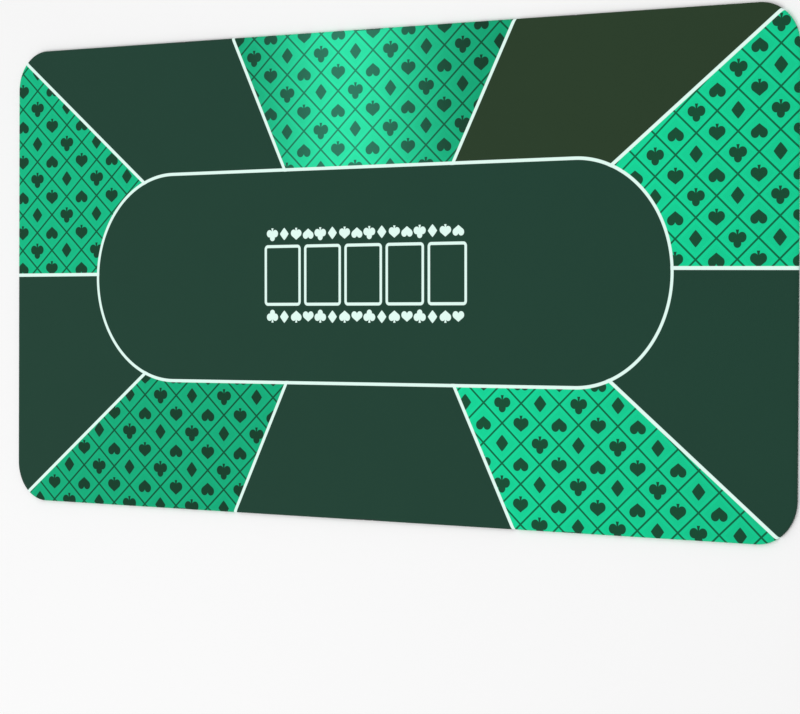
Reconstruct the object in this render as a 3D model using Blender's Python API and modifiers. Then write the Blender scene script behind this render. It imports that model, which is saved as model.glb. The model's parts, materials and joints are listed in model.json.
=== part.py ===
"""Folding poker table top: four padded boards and a narrow spine under one printed playing cloth.

The top lies flat with its playing face up. +X runs along its length, +Y across it, and the origin is
at the middle of its footprint, on the surface it stands on. Each fold is a strip of cloth and woven
tape over a gap between two boards, so its line runs along Y just above the playing face. The outer
panels fold in onto the inner panels, and the inner panels then close on each other like a book.
"""

import bmesh
import bpy
from mathutils import Matrix, Vector

# Overall size
LENGTH = 1.800
WIDTH = 0.900
CORNER_RADIUS = 0.076

# Thickness of each layer, from the playing face down
CLOTH = 0.0005
TAPE = 0.0004
PAD = 0.0015
BOARD = 0.0030
BACKING = 0.0006
FOOT_HEIGHT = 0.0012

# Folds
FOLD_GAP = 0.005
FOLD_RISE = 0.001
TAPE_LAP = 0.020
FOLDED_CLEARANCE = 0.0025
FREE_EDGE_CLEARANCE = 0.0015

# Edges and feet
HEM_WIDTH = 0.014
BACKING_SETBACK = 0.001
FOOT_DIAMETER = 0.020
FOOT_BEVEL = 0.0004
FOOT_EDGE_INSET = 0.060
FOOT_FOLD_INSET = 0.045

# Room between pieces that lie against each other
CLEARANCE = 0.0003

# How finely round shapes are faceted
CORNER_SEGMENTS = 14
FOOT_SEGMENTS = 28

# How far a cutter runs past what it cuts
OVERRUN = 0.010

# Heights, from the surface that the feet stand on
BACKING_Z = FOOT_HEIGHT + CLEARANCE
HEM_TOP_Z = BACKING_Z + CLOTH
BOARD_Z = BACKING_Z + max(BACKING, CLOTH) + CLEARANCE
PAD_Z = BOARD_Z + BOARD + CLEARANCE
CLOTH_Z = PAD_Z + PAD + CLEARANCE
FACE_Z = CLOTH_Z + CLOTH
TAPE_Z = CLOTH_Z - CLEARANCE - TAPE
PAD_RECESS_Z = TAPE_Z - CLEARANCE
FOLD_Z = FACE_Z + FOLD_RISE

# Where the folds are: the closed spine has room for both outer panels, and an outer panel's free edge
# stops short of the spine
HALF_SPINE = FOLD_RISE + FACE_Z + FOLDED_CLEARANCE / 2
HALF_LENGTH = LENGTH / 2
HALF_WIDTH = WIDTH / 2
OUTER_FOLD_X = (HALF_LENGTH + HALF_SPINE - FOLD_RISE + FREE_EDGE_CLEARANCE) / 2
LAYER_INSET = CLOTH + CLEARANCE

# Base colour, roughness and metallic value of each material
MATERIALS = {
    "playing_cloth": ((0.021, 0.058, 0.040), 0.85, 0.0),
    "woven_tape": ((0.020, 0.022, 0.021), 0.90, 0.0),
    "foam": ((0.060, 0.062, 0.064), 0.95, 0.0),
    "hardboard": ((0.190, 0.105, 0.055), 0.60, 0.0),
    "backing": ((0.015, 0.017, 0.018), 0.80, 0.0),
    "rubber": ((0.010, 0.010, 0.011), 0.70, 0.0),
}

# Each body: its parent body and the X of the fold that joins them
BODIES = {
    "left_inner_panel": (None, 0.0),
    "left_outer_panel": ("left_inner_panel", -OUTER_FOLD_X),
    "spine": ("left_inner_panel", -HALF_SPINE),
    "right_inner_panel": ("spine", HALF_SPINE),
    "right_outer_panel": ("right_inner_panel", OUTER_FOLD_X),
}

# Each board's two ends along X: a fold line, or the edge of the top
SPANS = {
    "left_outer": (-HALF_LENGTH, -OUTER_FOLD_X),
    "left_inner": (-OUTER_FOLD_X, -HALF_SPINE),
    "spine": (-HALF_SPINE, HALF_SPINE),
    "right_inner": (HALF_SPINE, OUTER_FOLD_X),
    "right_outer": (OUTER_FOLD_X, HALF_LENGTH),
}


def clear_scene():
    """Remove whatever the scene holds."""
    for thing in list(bpy.data.objects):
        bpy.data.objects.remove(thing, do_unlink=True)


def new_collection(name):
    """Make a collection in the scene."""
    collection = bpy.data.collections.new(name)
    bpy.context.scene.collection.children.link(collection)
    return collection


def new_material(name, colour, roughness, metallic):
    """Make a Principled material."""
    material = bpy.data.materials.new(name)
    material.use_nodes = True
    shader = material.node_tree.nodes["Principled BSDF"]
    shader.inputs["Base Color"].default_value = (*colour, 1.0)
    shader.inputs["Roughness"].default_value = roughness
    shader.inputs["Metallic"].default_value = metallic
    material.diffuse_color = (*colour, 1.0)
    return material


def new_empty(name, location, parent):
    """Make the empty that a body's pieces hang on, on the body's fold line."""
    empty = bpy.data.objects.new(name, None)
    empty.empty_display_size = 0.05
    assembly.objects.link(empty)
    empty.parent = parent
    empty.location = location - (parent.matrix_world.translation if parent else Vector())
    bpy.context.view_layer.update()
    return empty


def is_fold(x):
    """Tell whether a board's end is a fold line and not the edge of the top."""
    return abs(x) < HALF_LENGTH


def body_of(panel):
    """Give the name of the body that a panel belongs to."""
    return panel if panel == "spine" else panel + "_panel"


def end_name(panel, x):
    """Name the end of a panel that a place lies at."""
    return "left" if x < sum(SPANS[panel]) / 2 else "right"


def ends(panel, at_fold, at_edge):
    """Give a layer's ends along X, set back by one distance at a fold and another at the top's edge."""
    low, high = SPANS[panel]
    low += at_fold if is_fold(low) else at_edge
    high -= at_fold if is_fold(high) else at_edge
    return low, high


def rounded_box(name, x_ends, half_width, z_ends, inset):
    """Make a flat box whose corners are rounded where they are the corners of the whole top.

    inset is how far the box's edge lies inside the edge of the top, which sets its corner radius.
    """
    size = Vector((x_ends[1] - x_ends[0], 2 * half_width, z_ends[1] - z_ends[0]))
    mesh = bpy.data.meshes.new(name)
    shape = bmesh.new()
    bmesh.ops.create_cube(shape, size=1.0, matrix=Matrix.Diagonal((*size, 1.0)))
    weights = shape.edges.layers.float.new("bevel_weight_edge")
    round_ends = [side for side, x in zip((-1, 1), x_ends) if abs(x) > HALF_LENGTH - CORNER_RADIUS]
    for edge in shape.edges:
        upright = abs(edge.verts[0].co.z - edge.verts[1].co.z) > size.z / 2
        if upright and any(edge.verts[0].co.x * side > 0 for side in round_ends):
            edge[weights] = 1.0
    shape.to_mesh(mesh)
    shape.free()
    box = bpy.data.objects.new(name, mesh)
    box.location = (sum(x_ends) / 2, 0, sum(z_ends) / 2)
    if round_ends:
        bevel = box.modifiers.new("corners", "BEVEL")
        bevel.limit_method = "WEIGHT"
        bevel.width = CORNER_RADIUS - inset
        bevel.segments = CORNER_SEGMENTS
    return box


def finish_piece(piece, body, material):
    """Put a piece in the assembly, on its body and in its material."""
    assembly.objects.link(piece)
    parent = body_empties[body]
    piece.parent = parent
    piece.location -= parent.matrix_world.translation
    piece.data.materials.append(materials[material])
    return piece


def cut(piece, cutter):
    """Cut one shape out of a piece, where both stand in the world."""
    cutters.objects.link(cutter)
    cutter.hide_render = True
    cutter.display_type = "WIRE"
    boolean = piece.modifiers.new(cutter.name, "BOOLEAN")
    boolean.operation = "DIFFERENCE"
    boolean.solver = "EXACT"
    boolean.object = cutter


def make_board(panel):
    """Hardboard panel."""
    x_ends = ends(panel, FOLD_GAP / 2, LAYER_INSET)
    z_ends = (BOARD_Z, BOARD_Z + BOARD)
    board = rounded_box("board_" + panel, x_ends, HALF_WIDTH - LAYER_INSET, z_ends, LAYER_INSET)
    finish_piece(board, body_of(panel), "hardboard")


def make_pad(panel):
    """Foam pad on a board, lowered beside each fold to take the woven tape."""
    x_ends = ends(panel, FOLD_GAP / 2, LAYER_INSET)
    lap = FOLD_GAP / 2 + TAPE_LAP + CLEARANCE
    taped_all_over = x_ends[1] - x_ends[0] < 2 * TAPE_LAP
    top = PAD_RECESS_Z if taped_all_over else PAD_Z + PAD
    pad = rounded_box("pad_" + panel, x_ends, HALF_WIDTH - LAYER_INSET, (PAD_Z, top), LAYER_INSET)
    finish_piece(pad, body_of(panel), "foam")
    if taped_all_over:
        return
    for fold_x in filter(is_fold, SPANS[panel]):
        reach = (fold_x - lap, fold_x + lap)
        height = (PAD_RECESS_Z, PAD_Z + PAD + OVERRUN)
        name = "_".join(("recess", panel, end_name(panel, fold_x)))
        cut(pad, rounded_box(name, reach, HALF_WIDTH + OVERRUN, height, 0.0))


def make_cloth(panel):
    """Playing cloth over one panel: its face, the skirt round the top's edge and the hem below."""
    x_ends = ends(panel, CLEARANCE / 2, 0.0)
    cloth = rounded_box("cloth_" + panel, x_ends, HALF_WIDTH, (BACKING_Z, FACE_Z), 0.0)
    finish_piece(cloth, body_of(panel), "playing_cloth")
    for fold_x in filter(is_fold, SPANS[panel]):
        reach = (fold_x - FOLD_GAP / 2, fold_x + FOLD_GAP / 2)
        name = "_".join(("notch", panel, end_name(panel, fold_x)))
        cut(cloth, rounded_box(name, reach, HALF_WIDTH + OVERRUN, (-OVERRUN, CLOTH_Z), 0.0))
    hollow_ends = ends(panel, -OVERRUN, CLOTH)
    hollow = rounded_box("hollow_" + panel, hollow_ends, HALF_WIDTH - CLOTH, (HEM_TOP_Z, CLOTH_Z), CLOTH)
    cut(cloth, hollow)
    mouth_ends = ends(panel, -OVERRUN, HEM_WIDTH)
    mouth_z = (-OVERRUN, (HEM_TOP_Z + CLOTH_Z) / 2)
    cut(cloth, rounded_box("mouth_" + panel, mouth_ends, HALF_WIDTH - HEM_WIDTH, mouth_z, HEM_WIDTH))


def make_backing(panel):
    """Backing sheet under a board, inside the hem."""
    inset = HEM_WIDTH + CLEARANCE
    x_ends = ends(panel, FOLD_GAP / 2 + BACKING_SETBACK, inset)
    z_ends = (BACKING_Z, BACKING_Z + BACKING)
    sheet = rounded_box("backing_" + panel, x_ends, HALF_WIDTH - inset, z_ends, inset)
    finish_piece(sheet, body_of(panel), "backing")


def make_tape(name, body, fold_x):
    """Woven hinge tape under the cloth: it laps the pads on both sides, to mid-spine at most."""
    reach = FOLD_GAP / 2 + TAPE_LAP
    to_middle = min(reach, abs(fold_x) - CLEARANCE / 2)
    x_ends = (fold_x - reach, fold_x + to_middle) if fold_x < 0 else (fold_x - to_middle, fold_x + reach)
    z_ends = (TAPE_Z, TAPE_Z + TAPE)
    tape = rounded_box("hinge_tape_" + name, x_ends, HALF_WIDTH - LAYER_INSET, z_ends, 0.0)
    finish_piece(tape, body, "woven_tape")


def make_foot(name, body, x, y):
    """Low rubber foot with a rounded lower rim."""
    mesh = bpy.data.meshes.new(name)
    shape = bmesh.new()
    bmesh.ops.create_cone(
        shape,
        cap_ends=True,
        segments=FOOT_SEGMENTS,
        radius1=FOOT_DIAMETER / 2,
        radius2=FOOT_DIAMETER / 2,
        depth=FOOT_HEIGHT,
    )
    weights = shape.edges.layers.float.new("bevel_weight_edge")
    for edge in shape.edges:
        edge[weights] = float(all(vertex.co.z < 0 for vertex in edge.verts))
    shape.to_mesh(mesh)
    shape.free()
    mesh.shade_smooth()
    mesh.set_sharp_from_angle(angle=0.6)
    foot = bpy.data.objects.new(name, mesh)
    foot.location = (x, y, FOOT_HEIGHT / 2)
    bevel = foot.modifiers.new("rim", "BEVEL")
    bevel.limit_method = "WEIGHT"
    bevel.width = FOOT_BEVEL
    bevel.segments = 2
    finish_piece(foot, body, "rubber")


def make_feet(panel):
    """Four feet near the corners of a panel."""
    for x in ends(panel, FOOT_FOLD_INSET, FOOT_EDGE_INSET):
        for side, y_sign in (("front", -1), ("back", 1)):
            name = "_".join(("foot", panel, side, end_name(panel, x)))
            make_foot(name, body_of(panel), x, y_sign * (HALF_WIDTH - FOOT_EDGE_INSET))


clear_scene()
assembly = new_collection("folding_poker_table_top")
cutters = new_collection("cutters")
materials = {name: new_material(name, *values) for name, values in MATERIALS.items()}
body_empties = {}
for body, (parent, fold_x) in BODIES.items():
    line = Vector((fold_x, 0.0, FOLD_Z)) if parent else Vector()
    body_empties[body] = new_empty(body, line, body_empties.get(parent))

for panel in SPANS:
    make_board(panel)
    make_pad(panel)
    make_cloth(panel)
    make_backing(panel)
    if panel != "spine":
        make_feet(panel)

for body, (parent, fold_x) in BODIES.items():
    if parent:
        side = "left" if fold_x < 0 else "right"
        place = "spine" if abs(fold_x) == HALF_SPINE else "outer"
        make_tape(side + "_" + place, parent, fold_x)

bpy.context.view_layer.update()
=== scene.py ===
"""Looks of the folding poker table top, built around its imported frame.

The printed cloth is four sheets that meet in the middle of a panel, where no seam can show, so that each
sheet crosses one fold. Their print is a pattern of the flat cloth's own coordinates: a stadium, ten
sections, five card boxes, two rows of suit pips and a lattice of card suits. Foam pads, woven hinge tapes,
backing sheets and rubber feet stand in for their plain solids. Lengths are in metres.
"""

import json
import math

import bmesh
import bpy
from mathutils import Matrix, Vector

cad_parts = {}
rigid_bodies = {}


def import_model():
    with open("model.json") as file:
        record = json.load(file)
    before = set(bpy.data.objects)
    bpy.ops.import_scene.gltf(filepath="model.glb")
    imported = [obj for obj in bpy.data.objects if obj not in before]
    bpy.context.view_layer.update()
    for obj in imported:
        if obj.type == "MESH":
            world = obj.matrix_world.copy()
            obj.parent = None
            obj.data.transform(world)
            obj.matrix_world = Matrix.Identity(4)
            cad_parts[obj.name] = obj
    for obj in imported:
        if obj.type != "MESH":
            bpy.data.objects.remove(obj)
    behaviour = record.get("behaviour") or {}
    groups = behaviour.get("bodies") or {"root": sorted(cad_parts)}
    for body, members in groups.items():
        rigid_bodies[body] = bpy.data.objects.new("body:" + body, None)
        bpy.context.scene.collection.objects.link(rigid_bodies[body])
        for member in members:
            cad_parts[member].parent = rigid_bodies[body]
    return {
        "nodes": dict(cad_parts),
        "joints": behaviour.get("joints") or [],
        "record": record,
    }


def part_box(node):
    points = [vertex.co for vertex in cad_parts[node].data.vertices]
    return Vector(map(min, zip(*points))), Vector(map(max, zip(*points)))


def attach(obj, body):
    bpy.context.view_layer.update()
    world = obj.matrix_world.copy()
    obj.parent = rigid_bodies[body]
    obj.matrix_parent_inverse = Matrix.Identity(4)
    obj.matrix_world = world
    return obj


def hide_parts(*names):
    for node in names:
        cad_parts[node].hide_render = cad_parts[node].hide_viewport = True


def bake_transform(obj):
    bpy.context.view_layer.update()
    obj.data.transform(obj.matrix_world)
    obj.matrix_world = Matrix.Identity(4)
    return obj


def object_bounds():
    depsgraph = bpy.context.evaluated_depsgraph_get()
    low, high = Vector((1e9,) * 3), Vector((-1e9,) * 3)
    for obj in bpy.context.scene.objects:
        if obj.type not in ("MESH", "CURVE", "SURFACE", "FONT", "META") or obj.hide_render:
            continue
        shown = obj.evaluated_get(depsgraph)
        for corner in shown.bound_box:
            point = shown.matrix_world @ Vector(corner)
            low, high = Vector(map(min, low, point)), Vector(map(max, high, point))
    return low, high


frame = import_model()
cad_low, cad_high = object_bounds()

MM = 0.001
LAYER_GAP = 0.3 * MM

# Where the frame puts things
FOLDS = {joint["name"].removesuffix("_fold"): joint for joint in frame["joints"]}
HALF_LENGTH = cad_high.x
HALF_WIDTH = cad_high.y
FACE_Z = cad_high.z
OUTER_FOLD_X = FOLDS["right_outer"]["pos_m"][0]
HALF_SPINE = FOLDS["right_spine"]["pos_m"][0]
MIDDLE_X = (OUTER_FOLD_X + HALF_SPINE) / 2
HEM_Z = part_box("cloth_left_outer")[0].z
HEM_INSET = HALF_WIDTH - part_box("backing_spine")[1].y - LAYER_GAP
FOLD_GAP = 2 * (OUTER_FOLD_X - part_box("board_right_inner")[1].x)

# The cloth, and the round corners of the top
CORNER_RADIUS = 76 * MM
CLOTH_THICKNESS = 0.5 * MM
FACE_INSET = 7 * MM
HEM_ROLL = 0.8 * MM

# How finely the sheets are faceted
CORNER_STEPS = 20
FOLD_STEPS = 12
EDGE_STEPS = 8
ROUND_STEPS = 3
FOOT_STEPS = 48
PANEL_STEP = 25 * MM
ACROSS_STEPS = 40
SMOOTH_ANGLE = math.radians(40)
SAME_PLACE = 0.01 * MM
WELD_DISTANCE = 0.001 * MM


# ---------------------------------------------------------------- numbers over a surface


class Field:
    """A number that varies over a surface: an output of a material's node tree."""

    def __init__(self, tree, socket):
        self.tree = tree
        self.socket = socket

    def math(self, operation, *others, clamp=False):
        """Apply a Math node to this number and others."""
        node = self.tree.nodes.new("ShaderNodeMath")
        node.operation = operation
        node.use_clamp = clamp
        for entry, value in zip(node.inputs, (self, *others)):
            feed(self.tree, entry, value)
        return Field(self.tree, node.outputs[0])

    def __add__(self, other):
        return self.math("ADD", other)

    def __sub__(self, other):
        return self.math("SUBTRACT", other)

    def __mul__(self, other):
        return self.math("MULTIPLY", other)

    def __truediv__(self, other):
        return self.math("DIVIDE", other)

    def __neg__(self):
        return self.math("MULTIPLY", -1.0)

    def __abs__(self):
        return self.math("ABSOLUTE")

    def __gt__(self, other):
        return self.math("GREATER_THAN", other)

    def __lt__(self, other):
        return self.math("LESS_THAN", other)

    def least(self, other):
        """The smaller of two numbers."""
        return self.math("MINIMUM", other)

    def most(self, other):
        """The larger of two numbers."""
        return self.math("MAXIMUM", other)

    def flip(self):
        """One minus this number."""
        return self.math("MULTIPLY_ADD", -1.0, 1.0)

    def fade(self, width):
        """Goes from 1 to 0 as this distance goes through zero, over a narrow width."""
        return self.math("MULTIPLY_ADD", -1.0 / width, 0.5, clamp=True)


def feed(tree, entry, value):
    """Give an input socket a field, a socket or a fixed value."""
    if isinstance(value, Field):
        tree.links.new(value.socket, entry)
    elif isinstance(value, bpy.types.NodeSocket):
        tree.links.new(value, entry)
    else:
        entry.default_value = value


def choose(where, no, yes):
    """A number that is no where the field is 0 and yes where it is 1."""
    node = where.tree.nodes.new("ShaderNodeMix")
    feed(where.tree, node.inputs[0], where)
    feed(where.tree, node.inputs[2], no)
    feed(where.tree, node.inputs[3], yes)
    return Field(where.tree, node.outputs[0])


def paint(where, below, above):
    """A colour that is below where the field is 0 and above where it is 1."""
    node = where.tree.nodes.new("ShaderNodeMix")
    node.data_type = "RGBA"
    feed(where.tree, node.inputs[0], where)
    feed(where.tree, node.inputs[6], below)
    feed(where.tree, node.inputs[7], above)
    return node.outputs[2]


def dim(tree, colour, factor):
    """A colour times a number."""
    node = tree.nodes.new("ShaderNodeVectorMath")
    node.operation = "SCALE"
    feed(tree, node.inputs[0], colour[:3] if isinstance(colour, tuple) else colour)
    feed(tree, node.inputs["Scale"], factor)
    return node.outputs[0]


def distance(x, y):
    """How far (x, y) is from the origin."""
    joined = x.tree.nodes.new("ShaderNodeCombineXYZ")
    feed(x.tree, joined.inputs[0], x)
    feed(x.tree, joined.inputs[1], y)
    length = x.tree.nodes.new("ShaderNodeVectorMath")
    length.operation = "LENGTH"
    feed(x.tree, length.inputs[0], joined.outputs[0])
    return Field(x.tree, length.outputs["Value"])


def beside(x, y, start, end):
    """Signed distance from the line through two points in millimetres, positive on its left side."""
    run = (Vector(end) - Vector(start)).normalized()
    offset = (start[1] * run.x - start[0] * run.y) * MM
    return y.math("MULTIPLY_ADD", run.x, -offset) - x * run.y


def noise(tree, place, scale, detail, roughness=0.5):
    """A noise pattern between 0 and 1."""
    node = tree.nodes.new("ShaderNodeTexNoise")
    feed(tree, node.inputs["Vector"], place)
    node.inputs["Scale"].default_value = scale
    node.inputs["Detail"].default_value = detail
    node.inputs["Roughness"].default_value = roughness
    return Field(tree, node.outputs[0])


def linear(red, green, blue):
    """A colour given as 8-bit display values, as linear light."""
    shares = [value / 255 for value in (red, green, blue)]
    light = [s / 12.92 if s <= 0.04045 else ((s + 0.055) / 1.055) ** 2.4 for s in shares]
    return (*light, 1.0)


# ---------------------------------------------------------------- the print, with painted light and shade on its green


# The stadium, the boxes and the pips share a middle, and are turned a little on the cloth
PRINT_MIDDLE = (-10.9 * MM, -0.7 * MM)
PRINT_TURN = math.radians(0.35)
STADIUM_STRAIGHT = 469 * MM
STADIUM_RADIUS = 199.2 * MM
STADIUM_LINE = 5.9 * MM
PRINT_EDGE = 0.7 * MM

# The ten dividers, in pairs that lie opposite each other: two points of each, in millimetres.
# Nearer the middle than CORNER_LINES_FROM_X the corner ones are followed no further, so none cross there.
END_LINES = (((-900, 2), (-680, 3)), ((680, 10), (900, 9)))
FALLING_CORNER_LINES = (((-860, 414), (-550, 176)), ((550, -198), (860, -434)))
RISING_CORNER_LINES = (((-860, -426), (-550, -188)), ((550, 200), (860, 430)))
FALLING_MIDDLE_LINES = (((330, -450), (198, -200)), ((-201, 200), (-329, 450)))
RISING_MIDDLE_LINES = (((-320, -450), (-193, -200)), ((193, 200), (327, 450)))
DIVIDER_LINE = 6.4 * MM
CORNER_LINES_FROM_X = 330 * MM

# The card boxes, and the rows of suits above and below them
BOX_RISE = 1.8 * MM
BOX_PITCH = 96.3 * MM
BOX_HALF = (44 * MM, 57 * MM)
BOX_RADIUS = 8 * MM
BOX_LINE = 5.5 * MM

PIPS_EACH_WAY = 8
PIP_PITCH = 29 * MM
PIP_ROW_Y = 77.5 * MM
PIP_SCALE = 0.78

# The lattice lies one step further left above the middle of the top, and as much further right below it
LATTICE_START = (-271.1 * MM, 411.2 * MM)
LATTICE_PITCH = (81.6 * MM, 71.1 * MM)
LATTICE_STEP = 4.5 * MM
LATTICE_TURN = -0.0051
LATTICE_LINE = 3.4 * MM
INNER_CELL = 0.36
INNER_SHADE = 0.05

# The suits, drawn about the middle of a cell with the stem upwards
STEM_TOP = 14 * MM
STEM_LOW = -4 * MM
STEM_NECK = (1.5 * MM, 6 * MM)
STEM_FLARE = 0.22
CLUB_SIDE = (8.8 * MM, 1.2 * MM)
CLUB_SIDE_RADIUS = 8.8 * MM
CLUB_END = (0.0, -9.0 * MM)
CLUB_END_RADIUS = 7.7 * MM
DIAMOND_HALF = (13.3 * MM, 14.8 * MM)
DIAMOND_POWER = 1.1
DIAMOND_SLOPE = 0.7
LOBE = (7.9 * MM, 1.4 * MM)
LOBE_RADIUS = 8.5 * MM
LOBE_NOTCH = 4.0 * MM
TIP_Y = -14.5 * MM
HEART_DROP = 2.8 * MM

WHITE_INK = linear(226, 252, 243)
DARK_INK = linear(27, 63, 49)
OLIVE_INK = linear(38, 59, 37)
GREEN_INK = linear(6, 205, 145)
SUIT_INK = linear(14, 74, 48)
LATTICE_INK = linear(0, 98, 62)
# The colour of a painted sheen highlight on the green
PAINTED_SHEEN_COLOUR = linear(115, 255, 218)

# Painted light and shade on the green: how bright it is in the two left sections, in the two right ones,
# and in the one at the top middle, which also carries a painted sheen highlight a little left of its middle
LEFT_PAINTED_LIGHT = 0.695
LEFT_TOP_PAINTED_RISE = 0.14
RIGHT_PAINTED_LIGHT = 1.2
RIGHT_TOP_PAINTED_RISE = 0.09
RIGHT_PAINTED_FALL = -0.32
MIDDLE_PAINTED_LIGHT = 0.6
MIDDLE_PAINTED_RISE = 0.7
PAINTED_SHEEN_STRENGTH = 0.12
PAINTED_SHEEN_X = -0.05
PAINTED_SHEEN_WIDTH = 0.17
TOP_MIDDLE_HALF = 0.45


def stem(across, up):
    """Distance from a suit's stem, which widens towards its foot."""
    flare = up.math("SUBTRACT", STEM_NECK[1]).most(0.0) * STEM_FLARE
    sides = across - flare - STEM_NECK[0]
    return sides.most(up - STEM_TOP).most(-up + STEM_LOW)


def club(across, up):
    """Distance from a club's three leaves."""
    side = distance(across - CLUB_SIDE[0], up - CLUB_SIDE[1]) - CLUB_SIDE_RADIUS
    end = distance(across - CLUB_END[0], up - CLUB_END[1]) - CLUB_END_RADIUS
    return side.least(end)


def diamond(across, up):
    """Roughly the distance from a diamond whose sides bulge a little."""
    wide = (across / DIAMOND_HALF[0]).math("POWER", DIAMOND_POWER)
    high = (abs(up) / DIAMOND_HALF[1]).math("POWER", DIAMOND_POWER)
    return (wide + high - 1.0) * (min(DIAMOND_HALF) * DIAMOND_SLOPE)


def heart(across, up):
    """Distance from a heart that stands on its tip: two lobes, and the wedge below them."""
    lobe = distance(across - LOBE[0], up - LOBE[1]) - LOBE_RADIUS
    to_lobe = Vector((LOBE[0], LOBE[1] - TIP_Y))
    slant = math.atan2(to_lobe.x, to_lobe.y) + math.asin(LOBE_RADIUS / to_lobe.length)
    run = Vector((math.sin(slant), math.cos(slant)))
    side = across * run.y - (up - TIP_Y) * run.x
    end = (across - LOBE[0]) * run.x + (up - LOBE[1]) * run.y
    return lobe.least(side.most(end).most(up - LOBE_NOTCH))


def suit(across, up, second_pair, odd):
    """Distance from one of the four suits, upside down: club and diamond, or spade and heart."""
    foot = stem(across, up)
    turned = choose(second_pair * odd, up, -up - HEART_DROP)
    body = heart(across, turned)
    first = choose(odd, club(across, up).least(foot), diamond(across, up))
    second = choose(odd, body.least(foot), body)
    return choose(second_pair, first, second)


def card_boxes(along, rise):
    """Distance from the outlines of the five card boxes."""
    place = (along / BOX_PITCH).math("ROUND").most(-2.0).least(2.0)
    across = abs(along - place * BOX_PITCH) - (BOX_HALF[0] - BOX_RADIUS)
    up = rise - (BOX_HALF[1] - BOX_RADIUS)
    outside = distance(across.most(0.0), up.most(0.0)) + across.most(up).least(0.0) - BOX_RADIUS
    return abs(outside + BOX_LINE / 2) - BOX_LINE / 2


def lattice_cell(x, y, top):
    """Where a point lies in the lattice of diamond cells.

    Gives how far it is from its cell's middle each way, as shares of the pitch; the sum of its shares from
    the nearest whole place, which is a half on the lattice lines; and which pair of suits the cell holds,
    and which suit of the pair.
    """
    step = top.math("MULTIPLY_ADD", 2.0, -1.0) * LATTICE_STEP
    u = (x + step - LATTICE_START[0]) / LATTICE_PITCH[0]
    v = (y + x * LATTICE_TURN - LATTICE_START[1]) / -LATTICE_PITCH[1]
    whole_u = u.math("ROUND")
    whole_v = v.math("ROUND")
    part_u = u - whole_u
    part_v = v - whole_v
    spread = abs(part_u) + abs(part_v)
    second_pair = spread > 0.5
    back = (part_u < 0.0) + (part_v < 0.0)
    odd = (whole_u + whole_v - second_pair * back).math("FLOORED_MODULO", 2.0)
    cell_u = part_u - part_u.math("SIGN") * 0.5 * second_pair
    cell_v = part_v - part_v.math("SIGN") * 0.5 * second_pair
    return cell_u, cell_v, spread, second_pair, odd


def about_print_middle(x, y):
    """A point's place along and across the print's own middle."""
    c, s = math.cos(PRINT_TURN), math.sin(PRINT_TURN)
    x = x - PRINT_MIDDLE[0]
    y = y - PRINT_MIDDLE[1]
    return x * c + y * s, y * c - x * s


def print_with_painted_light(tree, x, y):
    """The colour of the playing cloth at a point of the flat cloth: its print, with painted light and shade
    and a painted sheen highlight on the green.
    """
    along, over = about_print_middle(x, y)
    rise = abs(over - BOX_RISE)
    stadium = distance((abs(along) - STADIUM_STRAIGHT).most(0.0), over) - STADIUM_RADIUS
    inside = stadium < 0.0

    # The dividers' signed distances. Outside the stadium each changes sign only across its own two lines.
    right, top = x > 0.0, y > 0.0
    far_x = choose(right, x.least(-CORNER_LINES_FROM_X), x.most(CORNER_LINES_FROM_X))
    ends = either_beside(right, x, y, END_LINES)
    falling_corner = either_beside(right, far_x, y, FALLING_CORNER_LINES)
    rising_corner = either_beside(right, far_x, y, RISING_CORNER_LINES)
    falling_middle = either_beside(top, x, y, FALLING_MIDDLE_LINES)
    rising_middle = either_beside(top, x, y, RISING_MIDDLE_LINES)

    # White lines
    corner_lines = abs(falling_corner).least(abs(rising_corner))
    middle_lines = abs(falling_middle).least(abs(rising_middle))
    dividers = corner_lines.least(middle_lines).least(abs(ends)).most(-stadium)
    white = (abs(stadium) - STADIUM_LINE / 2).least(dividers - DIVIDER_LINE / 2)
    white = white.least(card_boxes(along, rise)).fade(PRINT_EDGE)

    # The suit at this point: one of the rows inside the stadium, or one of the lattice outside it
    place = (along / PIP_PITCH).math("FLOOR")
    pip_across = along - (place + 0.5) * PIP_PITCH
    pip_odd = place.math("FLOORED_MODULO", 2.0)
    pip_pair = (place * 0.5).math("FLOOR").math("FLOORED_MODULO", 2.0)
    cell_u, cell_v, spread, pair, odd = lattice_cell(x, y, top)
    across = choose(inside, abs(cell_u) * LATTICE_PITCH[0], abs(pip_across) / PIP_SCALE)
    up = choose(inside, cell_v * -LATTICE_PITCH[1], (rise - PIP_ROW_Y) / PIP_SCALE)
    suits = suit(across, up, choose(inside, pair, pip_pair), choose(inside, odd, pip_odd))
    suits = suits.fade(PRINT_EDGE)
    in_rows = abs(along) < PIPS_EACH_WAY * PIP_PITCH
    white = white.most(suits * inside * in_rows)

    # The ten sections are green and dark by turns
    turns = ends * falling_corner * rising_corner * falling_middle * rising_middle
    green = (turns < 0.0) * inside.flip()
    olive = (rising_middle < 0.0) * (rising_corner > 0.0) * inside.flip()
    cell_size = 1 / math.hypot(1 / LATTICE_PITCH[0], 1 / LATTICE_PITCH[1])
    lattice = (abs(spread - 0.5) * cell_size - LATTICE_LINE / 2).fade(PRINT_EDGE)
    inner = (abs(cell_u) + abs(cell_v)) < INNER_CELL
    tone, painted_sheen = painted_light_on_green(x, right, top)

    ground = paint(suits, paint(lattice, GREEN_INK, LATTICE_INK), SUIT_INK)
    # Painted light and shade: the green, its lattice and its suits are made darker or brighter by where they
    # lie
    ground = dim(tree, ground, inner.math("MULTIPLY_ADD", -INNER_SHADE, 1.0) * tone)
    # A painted sheen highlight laid over the top middle
    ground = paint(painted_sheen * PAINTED_SHEEN_STRENGTH, ground, PAINTED_SHEEN_COLOUR)
    plain = paint(olive, DARK_INK, OLIVE_INK)
    return paint(white, paint(green, plain, ground), WHITE_INK)


def either_beside(where, x, y, lines):
    """Signed distance from the first of two lines where the field is 0, from the second where it is 1."""
    first, second = (beside(x, y, *line) for line in lines)
    return choose(where, first, second)


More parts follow.
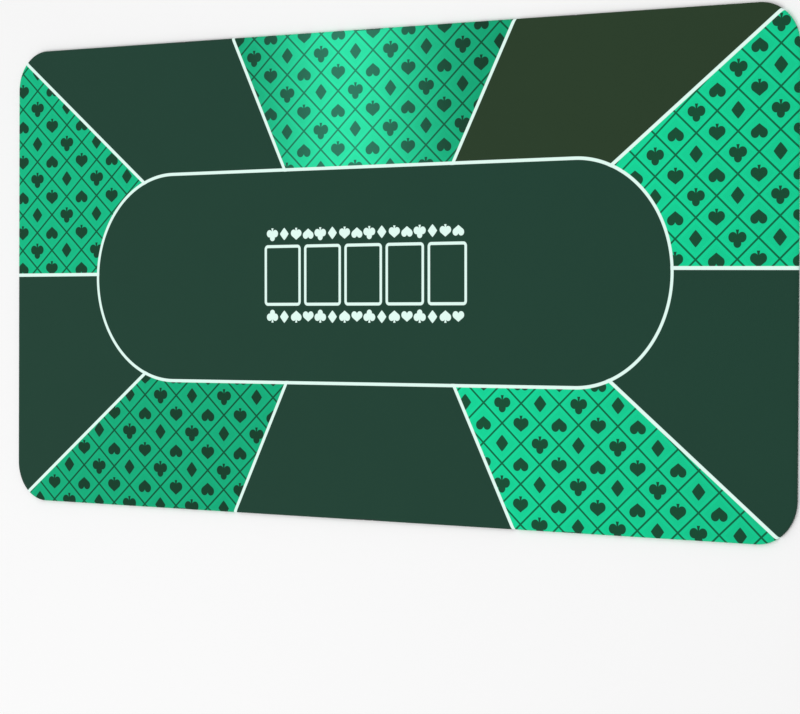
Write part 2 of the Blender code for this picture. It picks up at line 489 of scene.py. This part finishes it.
def painted_light_on_green(x, right, top):
    """Painted light and shade on the green ground, and the strength of its painted sheen: darker on the
    left, a painted sheen highlight at the top.
    """
    off_middle = (x - PAINTED_SHEEN_X) / PAINTED_SHEEN_WIDTH
    top_middle = top * (abs(x) < TOP_MIDDLE_HALF)
    painted_sheen = (off_middle * off_middle * -1.0).math("EXPONENT") * top_middle
    left_side = top * LEFT_TOP_PAINTED_RISE + LEFT_PAINTED_LIGHT
    right_side = x * RIGHT_PAINTED_FALL + top * RIGHT_TOP_PAINTED_RISE + RIGHT_PAINTED_LIGHT
    sides = choose(right, left_side, right_side)
    return choose(top_middle, sides, painted_sheen * MIDDLE_PAINTED_RISE + MIDDLE_PAINTED_LIGHT), painted_sheen


# ---------------------------------------------------------------- materials


# The weaves: from thread to thread, or from rib to rib
CLOTH_PITCH = 0.9 * MM
TAPE_TWILL_PITCH = 1.6 * MM
TAPE_RIB_PITCH = 0.8 * MM
BACKING_PITCH = 1.5 * MM

TAPE_COLOUR = linear(52, 56, 54)
FOAM_COLOUR = linear(70, 72, 74)
BOARD_COLOUR = linear(122, 92, 66)
BACKING_COLOUR = linear(38, 41, 42)
RUBBER_COLOUR = linear(32, 32, 33)


def new_material(name, roughness, *, specular, sheen=0.0):
    """A material with a Principled shader, and its tree."""
    material = bpy.data.materials.new(name)
    material.use_nodes = True
    shader = material.node_tree.nodes["Principled BSDF"]
    shader.inputs["Roughness"].default_value = roughness
    shader.inputs["Sheen Weight"].default_value = sheen
    shader.inputs["Specular IOR Level"].default_value = specular
    return material, material.node_tree, shader


def flat_place(tree):
    """The flat cloth's coordinates, in metres: the joined vector, x and y."""
    node = tree.nodes.new("ShaderNodeUVMap")
    node.uv_map = "flat"
    split = tree.nodes.new("ShaderNodeSeparateXYZ")
    feed(tree, split.inputs[0], node.outputs[0])
    return node.outputs[0], Field(tree, split.outputs[0]), Field(tree, split.outputs[1])


def bump(tree, shader, height, depth, strength):
    """Raise the surface where the field is high, by up to depth."""
    node = tree.nodes.new("ShaderNodeBump")
    node.inputs["Strength"].default_value = strength
    node.inputs["Distance"].default_value = depth
    feed(tree, node.inputs["Height"], height)
    feed(tree, shader.inputs["Normal"], node.outputs[0])


def weave(x, y, pitch):
    """Plain weave: threads that pass over and under each other, from 0 to 1."""
    warp = (x * (2 * math.pi / pitch)).math("SINE")
    weft = (y * (2 * math.pi / pitch)).math("SINE")
    return (warp * weft).math("MULTIPLY_ADD", 0.5, 0.5)


def cloth_material():
    """Printed speed cloth: a fine plain weave with a faint nap, with painted light and shade and a painted
    sheen on its green print.
    """
    material, tree, shader = new_material("printed_cloth", 0.82, sheen=0.05, specular=0.12)
    place, x, y = flat_place(tree)
    threads = weave(x, y, CLOTH_PITCH)
    nap = noise(tree, place, 900.0, 3.0)
    wash = noise(tree, place, 9.0, 3.0)
    tone = nap.math("MULTIPLY_ADD", 0.10, 0.95) + wash.math("MULTIPLY_ADD", 0.06, -0.03)
    tone = tone + threads.math("MULTIPLY_ADD", 0.06, -0.03)
    feed(tree, shader.inputs["Base Color"], dim(tree, print_with_painted_light(tree, x, y), tone))
    feed(tree, shader.inputs["Roughness"], nap.math("MULTIPLY_ADD", 0.12, 0.76))
    bump(tree, shader, threads + nap * 0.6, 0.12 * MM, 0.5)
    return material


def tape_material():
    """Woven tape: a twill with fine ribs across it."""
    material, tree, shader = new_material("hinge_tape", 0.85, sheen=0.1, specular=0.25)
    place, x, y = flat_place(tree)
    twill = ((x + y) * (2 * math.pi / TAPE_TWILL_PITCH)).math("SINE")
    ribs = (y * (2 * math.pi / TAPE_RIB_PITCH)).math("SINE")
    threads = twill * 0.35 + ribs * 0.15 + 0.5
    fluff = noise(tree, place, 700.0, 3.0)
    tone = threads.math("MULTIPLY_ADD", 0.7, 0.45) + fluff.math("MULTIPLY_ADD", 0.3, -0.15)
    feed(tree, shader.inputs["Base Color"], dim(tree, TAPE_COLOUR, tone))
    bump(tree, shader, threads + fluff * 0.3, 0.25 * MM, 0.7)
    return material


def foam_material():
    """Closed-cell foam: fine pores over a soft grey."""
    material, tree, shader = new_material("foam", 0.95, specular=0.2)
    place = tree.nodes.new("ShaderNodeTexCoord").outputs["Object"]
    cells = tree.nodes.new("ShaderNodeTexVoronoi")
    feed(tree, cells.inputs["Vector"], place)
    cells.inputs["Scale"].default_value = 1400.0
    pores = Field(tree, cells.outputs["Distance"])
    blotch = noise(tree, place, 60.0, 3.0)
    tone = pores.math("MULTIPLY_ADD", 0.5, 0.65) + blotch.math("MULTIPLY_ADD", 0.3, -0.15)
    feed(tree, shader.inputs["Base Color"], dim(tree, FOAM_COLOUR, tone))
    bump(tree, shader, pores, 0.2 * MM, 0.8)
    return material


def board_material():
    """Hardboard: pressed brown fibre."""
    material, tree, shader = new_material("hardboard", 0.62, specular=0.3)
    place = tree.nodes.new("ShaderNodeTexCoord").outputs["Object"]
    fibre = noise(tree, place, 260.0, 6.0, 0.7)
    blotch = noise(tree, place, 14.0, 3.0)
    tone = fibre.math("MULTIPLY_ADD", 0.9, 0.5) + blotch.math("MULTIPLY_ADD", 0.3, -0.15)
    feed(tree, shader.inputs["Base Color"], dim(tree, BOARD_COLOUR, tone))
    feed(tree, shader.inputs["Roughness"], fibre.math("MULTIPLY_ADD", 0.4, 0.42))
    bump(tree, shader, fibre, 0.15 * MM, 0.6)
    return material


def backing_material():
    """Coated canvas: a coarse plain weave under a thin dull coat."""
    material, tree, shader = new_material("backing", 0.7, specular=0.35)
    place, x, y = flat_place(tree)
    threads = weave(x, y, BACKING_PITCH)
    grain = noise(tree, place, 300.0, 4.0)
    scuffs = noise(tree, place, 16.0, 5.0, 0.65)
    tone = threads.math("MULTIPLY_ADD", 0.25, 0.8) + grain.math("MULTIPLY_ADD", 0.2, -0.1)
    tone = tone + (scuffs - 0.5).most(0.0) * 0.9
    feed(tree, shader.inputs["Base Color"], dim(tree, BACKING_COLOUR, tone))
    feed(tree, shader.inputs["Roughness"], scuffs.math("MULTIPLY_ADD", 0.35, 0.5))
    bump(tree, shader, threads + grain * 0.4, 0.2 * MM, 0.6)
    return material


def rubber_material():
    """Moulded rubber, a little dusty."""
    material, tree, shader = new_material("rubber", 0.7, specular=0.4)
    place = tree.nodes.new("ShaderNodeTexCoord").outputs["Object"]
    grain = noise(tree, place, 900.0, 3.0)
    dust = noise(tree, place, 120.0, 3.0)
    tone = grain.math("MULTIPLY_ADD", 0.4, 0.7) + (dust - 0.45).most(0.0) * 1.2
    feed(tree, shader.inputs["Base Color"], dim(tree, RUBBER_COLOUR, tone))
    feed(tree, shader.inputs["Roughness"], dust.math("MULTIPLY_ADD", 0.3, 0.55))
    bump(tree, shader, grain, 0.05 * MM, 0.5)
    return material


# ---------------------------------------------------------------- sheet meshes


class SheetMesh:
    """A mesh built from rows of points, with each point's place on the flat sheet."""

    def __init__(self):
        self.points = []
        self.flat = []
        self.faces = []

    def add(self, point, flat):
        """Add a point and give its number."""
        self.points.append(point)
        self.flat.append(flat)
        return len(self.points) - 1

    def quads(self, first, second):
        """Join two rows of points of equal length."""
        for a, b, c, d in zip(first, first[1:], second[1:], second):
            if None not in (a, b, c, d):
                self.faces.append((a, b, c, d))

    def build(self, name, material, welded=False):
        """Make the object, with its flat coordinates as a UV map."""
        mesh = bpy.data.meshes.new(name)
        mesh.from_pydata(self.points, [], self.faces)
        places = mesh.uv_layers.new(name="flat")
        for loop in mesh.loops:
            places.data[loop.index].uv = self.flat[loop.vertex_index]
        if welded:
            shape = bmesh.new()
            shape.from_mesh(mesh)
            bmesh.ops.remove_doubles(shape, verts=shape.verts, dist=WELD_DISTANCE)
            shape.to_mesh(mesh)
            shape.free()
        mesh.shade_smooth()
        mesh.set_sharp_from_angle(angle=SMOOTH_ANGLE)
        piece = bpy.data.objects.new(name, mesh)
        bpy.context.scene.collection.objects.link(piece)
        mesh.materials.append(material)
        return piece


def even_places(start, end, step):
    """Evenly spaced places from start to end, no further apart than step."""
    count = max(1, math.ceil(abs(end - start) / step - 1e-6))
    return [start + (end - start) * i / count for i in range(count + 1)]


def merged(*runs):
    """Places along X from several runs, in order, with none twice."""
    found = []
    for x in sorted(x for run in runs for x in run):
        if not found or x - found[-1] > SAME_PLACE:
            found.append(x)
    return found


def fold_places(fold_x):
    """Places close together across a fold."""
    return even_places(fold_x - FOLD_GAP / 2, fold_x + FOLD_GAP / 2, FOLD_GAP / FOLD_STEPS)


def columns(x_ends, inset, extra=()):
    """Columns of a sheet's grid, left to right: X, half the width there, and which way the outline faces.

    inset is how far the grid's edge lies inside the edge of the top. An end that reaches past the top's
    straight sides has the top's round corners.
    """
    centre_x = HALF_LENGTH - CORNER_RADIUS
    centre_y = HALF_WIDTH - CORNER_RADIUS
    radius = CORNER_RADIUS - inset
    low, high = (min(max(x, -centre_x), centre_x) for x in x_ends)
    places = merged(even_places(low, high, PANEL_STEP), extra)
    found = [(x, HALF_WIDTH - inset, (0.0, 1.0)) for x in places]
    turns = [math.pi / 2 * i / CORNER_STEPS for i in range(CORNER_STEPS)]
    waves = [(math.cos(turn), math.sin(turn)) for turn in turns]
    arc = [(centre_x + radius * c, centre_y + radius * s, (c, s)) for c, s in waves]
    if x_ends[1] > centre_x:
        found = found + arc[::-1]
    if x_ends[0] < -centre_x:
        found = [(-x, half_y, (-c, s)) for x, half_y, (c, s) in arc] + found
    return found


def edge_runs(cols, closed):
    """The grid's edge as runs of (column, row, outward direction), anticlockwise from above.

    closed says for the left and the right end whether the edge goes on round it.
    """
    last = len(cols) - 1

    def outward(k, side):
        c, s = cols[k][2]
        if c == 0.0 and k == 0 and closed[0]:
            c = -1.0
        if c == 0.0 and k == last and closed[1]:
            c = 1.0
        return (c, s * side)

    front = [(k, 0, outward(k, -1)) for k in range(last + 1)]
    back = [(k, ACROSS_STEPS, outward(k, 1)) for k in range(last, -1, -1)]
    left = [(0, j, (-1.0, 0.0)) for j in range(ACROSS_STEPS - 1, 0, -1)]
    right = [(last, j, (1.0, 0.0)) for j in range(1, ACROSS_STEPS)]
    if all(closed):
        return [front + right + back + left + front[:1]]
    if closed[0]:
        return [back + left + front]
    if closed[1]:
        return [front + right + back]
    return [front, back]


def add_grid(sheet, cols, height, faces_up=True):
    """Add a grid over the columns at a height that is a function of X, and give its rows of points."""
    rows = []
    for j in range(ACROSS_STEPS + 1):
        share = 2 * j / ACROSS_STEPS - 1
        places = [(x, share * half_y) for x, half_y, _ in cols]
        rows.append([sheet.add((x, y, height(x)), (x, y)) for x, y in places])
    for near, far in zip(rows, rows[1:]):
        sheet.quads(*((near, far) if faces_up else (far, near)))
    return rows


def add_rim(sheet, rows, run, profile):
    """Carry the sheet on past its edge, through a profile's steps: how far out each is, and its height."""
    inner = [rows[j][k] for k, j, _ in run]
    starts = [sheet.points[i] for i in inner]
    directions = [direction for _, _, direction in run]
    steps = [profile(start[0], direction) for start, direction in zip(starts, directions)]
    reached = [(0.0, start[2]) for start in starts]
    travelled = [0.0] * len(run)
    for level in range(max(map(len, steps))):
        ring = []
        for i, ((x, y, _), (dx, dy)) in enumerate(zip(starts, directions)):
            if level >= len(steps[i]):
                ring.append(None)
            elif i and run[i] == run[0]:
                ring.append(ring[0])
            else:
                out, z = steps[i][level]
                travelled[i] += math.dist(reached[i], (out, z))
                reached[i] = (out, z)
                flat = (x + dx * travelled[i], y + dy * travelled[i])
                ring.append(sheet.add((x + dx * out, y + dy * out, z), flat))
        sheet.quads(ring, inner)
        inner = ring


def quarter(steps):
    """(sine, cosine) at even steps through a quarter turn, without its start."""
    turns = [math.pi / 2 * i / steps for i in range(1, steps + 1)]
    return [(math.sin(turn), math.cos(turn)) for turn in turns]


# ---------------------------------------------------------------- the cloth


EDGE_DROP = 2.4 * MM
FOLD_CUT_DROP = 1.1 * MM
HEM_SHARES = (0.2, 0.45, 0.7, 1.0)
PLEATS = 5
PLEAT_DEPTH = 0.45 * MM
BAKE_MARGIN = 2 * MM


def cloth_profile(fold_x):
    """How the cloth goes round the edge of the top: over the foam, down the side, and under as a hem.

    At the fold the side and the hem are cut away, so that the fold can open them.
    """

    def profile(x, direction):
        over = quarter(EDGE_STEPS)
        steps = [(FACE_INSET * s, FACE_Z - EDGE_DROP * (1 - c)) for s, c in over]
        if abs(x - fold_x) < FOLD_GAP / 2 - SAME_PLACE:
            return [(out, z) for out, z in steps if z > FACE_Z - FOLD_CUT_DROP]
        low = HEM_Z + HEM_ROLL
        steps.append((FACE_INSET, (FACE_Z - EDGE_DROP + low) / 2))
        steps.append((FACE_INSET, low))
        for s, c in quarter(ROUND_STEPS):
            steps.append((FACE_INSET - HEM_ROLL * (1 - c), low - HEM_ROLL * s))
        turn = math.atan2(abs(direction[1]), abs(direction[0]))
        fold = PLEAT_DEPTH * math.sin(2 * PLEATS * turn) ** 2
        for share in HEM_SHARES:
            out = FACE_INSET - HEM_ROLL - (HEM_INSET - HEM_ROLL) * share
            steps.append((out, HEM_Z - fold * share))
        steps.append((steps[-1][0], HEM_Z + CLOTH_THICKNESS))
        return steps

    return profile


def make_cloth(name, x_ends, closed, fold, nodes):
    """One of the four sheets of the printed cloth, which crosses a fold."""
    joint = FOLDS[fold]
    fold_x = joint["pos_m"][0]
    sheet = SheetMesh()
    cols = columns(x_ends, FACE_INSET, fold_places(fold_x))
    rows = add_grid(sheet, cols, lambda x: FACE_Z)
    for run in edge_runs(cols, closed):
        add_rim(sheet, rows, run, cloth_profile(fold_x))
    piece = sheet.build(name, materials["cloth"])
    add_bake_map(piece)
    bend(piece, joint)
    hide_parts(*nodes)
    turned_over = HEM_INSET + FACE_Z - HEM_Z
    length = x_ends[1] - x_ends[0] + (FACE_INSET + turned_over) * any(closed)
    foams_beside(joint)


def add_bake_map(piece):
    """Give a sheet a second map to bake it through: the flat sheet, stretched to fill the unit square."""
    layers = piece.data.uv_layers
    layers.new(name="OFBake")
    flat = [spot.uv.copy() for spot in layers["flat"].data]
    low = [min(place[i] for place in flat) - BAKE_MARGIN for i in (0, 1)]
    high = [max(place[i] for place in flat) + BAKE_MARGIN for i in (0, 1)]
    for spot, place in zip(layers["OFBake"].data, flat):
        spot.uv = [(place[i] - low[i]) / (high[i] - low[i]) for i in (0, 1)]


def bend(piece, joint):
    """Bake a piece's place into its mesh. The ends of the fold's gap are put in order by the child's side,
    but not used.
    """
    fold_x, _, fold_z = joint["pos_m"]
    ends = (fold_x - FOLD_GAP / 2, fold_x + FOLD_GAP / 2)
    if child_side(joint) < 0:
        ends = ends[::-1]
    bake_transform(piece)


def child_side(joint):
    """Which side of its fold a joint's child lies on: 1 for +X, -1 for -X."""
    nodes = frame["record"]["behaviour"]["bodies"][joint["child"]]
    board = next(node for node in nodes if node.startswith("board_"))
    low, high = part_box(board)
    return 1 if (low.x + high.x) / 2 > joint["pos_m"][0] else -1


# ---------------------------------------------------------------- layers below the cloth


def make_slab(name, x_ends, inset, z_ends, radius, material, extra=(), top=None):
    """A flat closed layer with softened edges, and round corners where the top has them."""
    bottom_z, top_z = z_ends
    height = top or (lambda x: top_z)
    sheet = SheetMesh()
    cols = columns((x_ends[0] + radius, x_ends[1] - radius), inset + radius, extra)
    rows = add_grid(sheet, cols, height)

    def profile(x, direction):
        upper = [(radius * s, height(x) - radius * (1 - c)) for s, c in quarter(ROUND_STEPS)]
        lower = [(radius * c, bottom_z + radius * (1 - s)) for s, c in quarter(ROUND_STEPS)]
        return upper + [(radius, bottom_z + radius)] + lower

    for run in edge_runs(cols, (True, True)):
        add_rim(sheet, rows, run, profile)
    add_grid(sheet, cols, lambda x: bottom_z, faces_up=False)
    return sheet.build(name, material, welded=True)


def panel_body(panel):
    """The body that a panel's pieces ride on."""
    return panel if panel == "spine" else panel + "_panel"


def foams_beside(joint):
    """The foam pads on the two sides of a fold."""
    bodies = (joint["parent"], joint["child"])
    return ["foam_" + panel for panel in PANELS if panel_body(panel) in bodies]


def layer_ends(node):
    """A node's two ends along X, and its two heights."""
    low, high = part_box(node)
    return (low.x, high.x), (low.z, high.z)


PAD_RADIUS = 0.5 * MM
PAD_INSET = 0.6 * MM
RAMP = 2.5 * MM
RAMP_STEPS = 4
LEAST_RECESS = 0.1 * MM


def make_pad(panel):
    """Foam pad, pressed down where the woven tape lies on it."""
    node = "pad_" + panel
    x_ends, z_ends = layer_ends(node)
    tape_low, tape_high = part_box("hinge_tape_right_spine")
    lap = tape_high.x - HALF_SPINE + LAYER_GAP
    recess_z = tape_low.z - LAYER_GAP
    folds = [joint["pos_m"][0] for joint in FOLDS.values()]
    near = [x for x in folds if min(abs(x - end) for end in x_ends) < FOLD_GAP]

    def top(x):
        if z_ends[1] - recess_z < LEAST_RECESS:
            return z_ends[1]
        depth = 0.0
        for fold_x in near:
            share = (abs(x - fold_x) - lap) / RAMP
            depth = max(depth, 1 - min(max(share, 0.0), 1.0))
        return z_ends[1] - (z_ends[1] - recess_z) * depth * depth * (3 - 2 * depth)

    extra = []
    for fold_x in near:
        for side in (-1, 1):
            ramp = even_places(fold_x + side * lap, fold_x + side * (lap + RAMP), RAMP / RAMP_STEPS)
            extra += [x for x in ramp if x_ends[0] + RAMP < x < x_ends[1] - RAMP]
    inset = HALF_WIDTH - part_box(node)[1].y + PAD_INSET

    # Drawn in at the ends of the top, but not at a fold
    ends = [x + math.copysign(PAD_INSET, -x) * (abs(x) > OUTER_FOLD_X + FOLD_GAP) for x in x_ends]
    piece = make_slab("foam_" + panel, ends, inset, z_ends, PAD_RADIUS, materials["foam"], extra, top)
    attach(piece, panel_body(panel))
    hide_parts(node)


TAPE_ROUNDNESS = 0.45
BACKING_RADIUS = 0.2 * MM


def make_tape(fold):
    """Woven tape under the cloth along one fold."""
    node = "hinge_tape_" + fold
    x_ends, z_ends = layer_ends(node)
    joint = FOLDS[fold]
    inset = HALF_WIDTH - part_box(node)[1].y
    places = fold_places(joint["pos_m"][0])
    radius = (z_ends[1] - z_ends[0]) * TAPE_ROUNDNESS
    piece = make_slab("tape_" + fold, x_ends, inset, z_ends, radius, materials["tape"], places)
    bend(piece, joint)
    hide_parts(node)
    foams_beside(joint)


def make_backing(panel):
    """Coated canvas glued under a board."""
    node = "backing_" + panel
    x_ends, z_ends = layer_ends(node)
    inset = HALF_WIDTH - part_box(node)[1].y
    piece = make_slab("canvas_" + panel, x_ends, inset, z_ends, BACKING_RADIUS, materials["backing"])
    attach(piece, panel_body(panel))
    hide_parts(node)


# Under a foot: the grip rings' inner and outer radii, and the grooves beside them
GRIP_RINGS = ((3.0 * MM, 4.2 * MM), (5.6 * MM, 6.8 * MM), (8.2 * MM, 9.4 * MM))
GROOVE = 0.3 * MM
RING_SLOPE = 0.3 * MM
RING_ROUND = 0.2 * MM
RING_ROUND_DROP = 0.05 * MM
FOOT_EDGE_RADIUS = 0.3 * MM
FOOT_TOP_RADIUS = 0.2 * MM


def foot_profile(radius, height):
    """A foot's outline from the middle of its underside to the middle of its top: radius and height."""
    steps = [(0.0, GROOVE)]
    for inner, outer in GRIP_RINGS:
        steps += [(inner - RING_SLOPE, GROOVE), (inner, RING_ROUND_DROP), (inner + RING_ROUND, 0.0)]
        steps += [(outer - RING_ROUND, 0.0), (outer, RING_ROUND_DROP), (outer + RING_SLOPE, GROOVE)]

    # The last ring slopes straight up into the foot's own rounded edge
    steps.pop()
    for s, c in quarter(ROUND_STEPS):
        steps.append((radius - FOOT_EDGE_RADIUS * (1 - s), GROOVE + FOOT_EDGE_RADIUS * (1 - c)))
    for s, c in quarter(ROUND_STEPS):
        steps.append((radius - FOOT_TOP_RADIUS * (1 - c), height - FOOT_TOP_RADIUS * (1 - s)))
    return steps + [(0.0, height)]


def make_foot(node, body):
    """Moulded rubber foot with grip rings under it."""
    low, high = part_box(node)
    middle = (low + high) / 2
    profile = foot_profile((high.x - low.x) / 2, high.z - low.z)
    sheet = SheetMesh()
    rings = []
    for radius, z in profile:
        if radius == 0.0:
            point = sheet.add((middle.x, middle.y, low.z + z), (0.0, 0.0))
            rings.append([point] * (FOOT_STEPS + 1))
            continue
        ring = []
        for i in range(FOOT_STEPS):
            turn = 2 * math.pi * i / FOOT_STEPS
            x, y = radius * math.cos(turn), radius * math.sin(turn)
            ring.append(sheet.add((middle.x + x, middle.y + y, low.z + z), (x, y)))
        rings.append(ring + ring[:1])
    for lower, upper in zip(rings, rings[1:]):
        sheet.quads(lower, upper)
    piece = sheet.build(node.replace("foot_", "rubber_"), materials["rubber"])
    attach(piece, body)
    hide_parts(node)


# ---------------------------------------------------------------- stage


CAMERA_TARGET = Vector((75.5 * MM, -149.1 * MM, FACE_Z))
CAMERA_DISTANCE = 5.293
CAMERA_YAW = math.radians(37.713)
CAMERA_TILT = math.radians(1.027)
CAMERA_ROLL = math.radians(0.254)
CAMERA_LENS = 131.1
SENSOR_WIDTH = 36.0
FLOOR_HALF = 30.0
FLOOR_COLOUR = (0.93, 0.93, 0.93, 1.0)
SURROUNDINGS = 0.75
SOFT_BOX_SIZE = 3.0


def make_camera():
    """The camera, over the face and well to its right, nearly level across it."""
    level = math.cos(CAMERA_TILT)
    back = Vector((math.sin(CAMERA_YAW) * level, math.sin(CAMERA_TILT), math.cos(CAMERA_YAW) * level))
    up = Vector((0.0, 1.0, 0.0))
    up = (up - back * up.dot(back)).normalized()
    up.rotate(Matrix.Rotation(CAMERA_ROLL, 3, back))
    right = up.cross(back)
    data = bpy.data.cameras.new("camera")
    data.lens = CAMERA_LENS
    data.sensor_width = SENSOR_WIDTH
    data.clip_end = 200.0
    camera = bpy.data.objects.new("camera", data)
    turned = Matrix((right, up, back)).transposed().to_4x4()
    camera.matrix_world = Matrix.Translation(CAMERA_TARGET + back * CAMERA_DISTANCE) @ turned
    bpy.context.scene.collection.objects.link(camera)
    bpy.context.scene.camera = camera


def make_floor():
    """A plain pale floor."""
    corners = [(x * FLOOR_HALF, y * FLOOR_HALF, 0.0) for x, y in ((-1, -1), (1, -1), (1, 1), (-1, 1))]
    mesh = bpy.data.meshes.new("floor")
    mesh.from_pydata(corners, [], [(0, 1, 2, 3)])
    material, _, shader = new_material("floor", 0.9, specular=0.1)
    shader.inputs["Base Color"].default_value = FLOOR_COLOUR
    mesh.materials.append(material)
    floor = bpy.data.objects.new("floor", mesh)
    bpy.context.scene.collection.objects.link(floor)


def make_light(name, place, power):
    """A square soft box that faces the middle of the top."""
    data = bpy.data.lights.new(name, "AREA")
    data.size = SOFT_BOX_SIZE
    data.energy = power
    light = bpy.data.objects.new(name, data)
    light.location = place
    light.rotation_euler = (-Vector(place)).to_track_quat("-Z", "Y").to_euler()
    bpy.context.scene.collection.objects.link(light)


def make_lights():
    """Even white surroundings and two large soft boxes."""
    world = bpy.data.worlds.new("studio")
    bpy.context.scene.world = world
    world.use_nodes = True
    background = world.node_tree.nodes["Background"]
    background.inputs["Color"].default_value = (1.0, 1.0, 1.0, 1.0)
    background.inputs["Strength"].default_value = SURROUNDINGS
    make_light("key", (-1.5, -2.0, 4.5), 60.0)
    make_light("fill", (2.0, 2.5, 4.0), 30.0)
    bpy.context.scene.view_settings.view_transform = "Standard"


# ---------------------------------------------------------------- assembly


make_camera()
make_floor()
make_lights()
materials = {
    "cloth": cloth_material(),
    "tape": tape_material(),
    "foam": foam_material(),
    "board": board_material(),
    "backing": backing_material(),
    "rubber": rubber_material(),
}
PANELS = [node.removeprefix("board_") for node in frame["nodes"] if node.startswith("board_")]

for panel in PANELS:
    frame["nodes"]["board_" + panel].material_slots[0].material = materials["board"]
    make_pad(panel)
    make_backing(panel)
for fold in FOLDS:
    make_tape(fold)
for body, nodes in frame["record"]["behaviour"]["bodies"].items():
    for node in nodes:
        if node.startswith("foot_"):
            make_foot(node, body)

# Each sheet of cloth: its name, its ends along X, which of them wrap round the top, its fold, and its panels
FACE_END = HALF_LENGTH - FACE_INSET
SHEETS = (
    ("left_end", (-FACE_END, -MIDDLE_X), (True, False), "left_outer", ("left_outer",)),
    ("left_middle", (-MIDDLE_X, 0.0), (False, False), "left_spine", ("left_inner", "spine")),
    ("right_middle", (0.0, MIDDLE_X), (False, False), "right_spine", ("right_inner",)),
    ("right_end", (MIDDLE_X, FACE_END), (False, True), "right_outer", ("right_outer",)),
)
for name, x_ends, closed, fold, panels in SHEETS:
    make_cloth("cloth_sheet_" + name, x_ends, closed, fold, ["cloth_" + panel for panel in panels])
